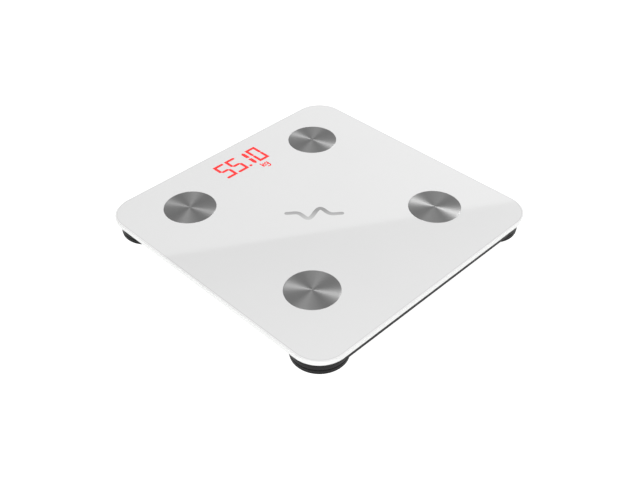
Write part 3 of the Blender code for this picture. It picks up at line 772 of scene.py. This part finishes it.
# The main camera sees the straight edge of the back card mirrored on the glass between these points.
BAND_START, BAND_END = Vector((-0.1485, 0.0539, 0.0)), Vector((0.1447, -0.1253, 0.0))
CARD_DISTANCE, CARD_HALF_X, CARD_HALF_Y = 4.0, 1.50, 1.20
CARD_BRIGHT, CARD_DARK, CARD_FADE = 0.98, 0.12, 0.75
CARD_OVERLAP = 0.004  # how far below the edge its change of brightness starts
# Shares of the fade at which the card is darkest and where it begins to rise, and by how much.
CARD_DARK_AT, CARD_RISE_AT, CARD_RISE = 0.012, 0.20, 0.1


def make_softbox(name, place, size, power):
    """A square softbox at a place, facing the middle of the floor under the scale."""
    light = bpy.data.lights.new(name, "AREA")
    light.shape = "SQUARE"
    light.size = size
    light.energy = power
    made = bpy.data.objects.new(name, light)
    made.location = place
    made.rotation_mode = "QUATERNION"
    made.rotation_quaternion = place.to_track_quat("Z", "Y")
    bpy.context.scene.collection.objects.link(made)


def make_back_card(camera):
    """A glowing card that the glass mirrors, placed by the camera of the main view."""
    mirror = Vector((camera.location.x, camera.location.y, 2 * GLASS_TOP - camera.location.z))
    start, end = BAND_START + Vector((0, 0, GLASS_TOP)), BAND_END + Vector((0, 0, GLASS_TOP))
    forward = (((start + end) / 2) - mirror).normalized()
    plane_point = (start + end) / 2 + forward * CARD_DISTANCE

    def thrown(point):
        ray = (point - mirror).normalized()
        return mirror + ray * ((plane_point - mirror).dot(forward) / ray.dot(forward))

    along = (thrown(end) - thrown(start)).normalized()
    across = forward.cross(along).normalized()
    if across.z < 0:
        across = -across
    centre = (thrown(start) + thrown(end)) / 2
    bm = bmesh.new()
    corners = [(u * CARD_HALF_X, v * CARD_HALF_Y) for u, v in ((-1, -1), (1, -1), (1, 1), (-1, 1))]
    bm.faces.new([bm.verts.new((u, v, 0)) for u, v in corners])
    mesh = bpy.data.meshes.new("back_card")
    bm.to_mesh(mesh)
    bm.free()
    card = bpy.data.objects.new("back_card", mesh)
    card.matrix_world = Matrix((along, across, along.cross(across))).transposed().to_4x4()
    card.matrix_world.translation = centre
    bpy.context.scene.collection.objects.link(card)
    mesh.materials.append(make_card_light())


def make_card_light():
    """Bright below the card's straight edge, dark just above it, and brighter again further up."""
    material = bpy.data.materials.new("card_light")
    material.use_nodes = True
    tree = material.node_tree
    tree.nodes.clear()
    place = tree.nodes.new("ShaderNodeTexCoord")
    split = tree.nodes.new("ShaderNodeSeparateXYZ")
    ramp = tree.nodes.new("ShaderNodeFloatCurve")
    reach = tree.nodes.new("ShaderNodeMapRange")
    glow = tree.nodes.new("ShaderNodeEmission")
    out = tree.nodes.new("ShaderNodeOutputMaterial")
    reach.inputs["From Min"].default_value = -CARD_OVERLAP
    reach.inputs["From Max"].default_value = CARD_FADE
    tree.links.new(place.outputs["Object"], split.inputs["Vector"])
    tree.links.new(split.outputs["Y"], reach.inputs["Value"])
    tree.links.new(reach.outputs["Result"], ramp.inputs["Value"])
    # The curve holds half the brightness, and the last node doubles it.
    curve = ramp.mapping.curves[0]
    curve.points[0].location = (0.0, CARD_BRIGHT / 2)
    curve.points[1].location = (1.0, CARD_BRIGHT / 2)
    curve.points.new(CARD_DARK_AT, CARD_DARK / 2)
    curve.points.new(CARD_RISE_AT, (CARD_DARK + CARD_RISE) / 2)
    for point in curve.points:
        point.handle_type = "VECTOR"
    ramp.mapping.update()
    double = tree.nodes.new("ShaderNodeMath")
    double.operation = "MULTIPLY"
    double.inputs[1].default_value = 2.0
    tree.links.new(ramp.outputs["Value"], double.inputs[0])
    tree.links.new(double.outputs["Value"], glow.inputs["Strength"])
    tree.links.new(glow.outputs["Emission"], out.inputs["Surface"])
    return material


FLOOR_GREY, FLOOR_ROUGHNESS, FLOOR_SHEEN, FLOOR_GLOW = 0.38, 0.85, 0.2, 0.90
FLOOR_RADIUS, FLOOR_RIM = 15.0, 0.6


def make_floor():
    """A wide round floor with a low wall at its rim, which hides the horizon from a low camera."""
    bm = bmesh.new()
    bmesh.ops.create_circle(bm, cap_ends=True, radius=FLOOR_RADIUS, segments=96)
    wall = bmesh.ops.extrude_edge_only(bm, edges=list(bm.edges))["geom"]
    for vert in (part for part in wall if isinstance(part, bmesh.types.BMVert)):
        vert.co.z = FLOOR_RIM
    mesh = bpy.data.meshes.new("floor")
    bm.to_mesh(mesh)
    bm.free()
    floor = bpy.data.objects.new("floor", mesh)
    bpy.context.scene.collection.objects.link(floor)
    paper = Finish("pale_floor", (FLOOR_GREY,) * 3, FLOOR_ROUGHNESS, Specular_IOR_Level=FLOOR_SHEEN)
    paper.set("Emission Color", (1.0, 1.0, 1.0, 1.0))
    paper.set("Emission Strength", FLOOR_GLOW)
    mesh.materials.append(paper.material)


def make_world():
    world = bpy.data.worlds.new("studio")
    world.use_nodes = True
    background = world.node_tree.nodes["Background"]
    background.inputs["Color"].default_value = (1.0, 1.0, 1.0, 1.0)
    background.inputs["Strength"].default_value = WORLD_LEVEL
    bpy.context.scene.world = world
    bpy.context.scene.view_settings.view_transform = "Standard"


# ---------------------------------------------------------------- assembly

camera = make_camera()
finishes = make_finishes()
make_plate(finishes)
make_electrodes(finishes["steel"])
make_readout(finishes["led"])
make_motif(finishes["motif"])
make_feet(finishes)
refined("base_tray", finishes["plastic"], "scale_body", 0.25 * MM)
refined("battery_door", finishes["plastic"], "battery_door", 0.2 * MM)
refined("unit_button", finishes["plastic"], "unit_button", 0.15 * MM)
make_door_grip(finishes["plastic"])
make_label(finishes["label"])
for number in (1, 2, 3):
    make_battery(number, finishes)
finish_hidden_nodes(finishes)

make_floor()
make_world()
make_back_card(camera)
make_softbox("key_softbox", KEY_AT, KEY_SIZE, KEY_POWER)
make_softbox("rim_softbox", RIM_AT, RIM_SIZE, RIM_POWER)
make_softbox("fill_softbox", FILL_AT, FILL_SIZE, FILL_POWER)
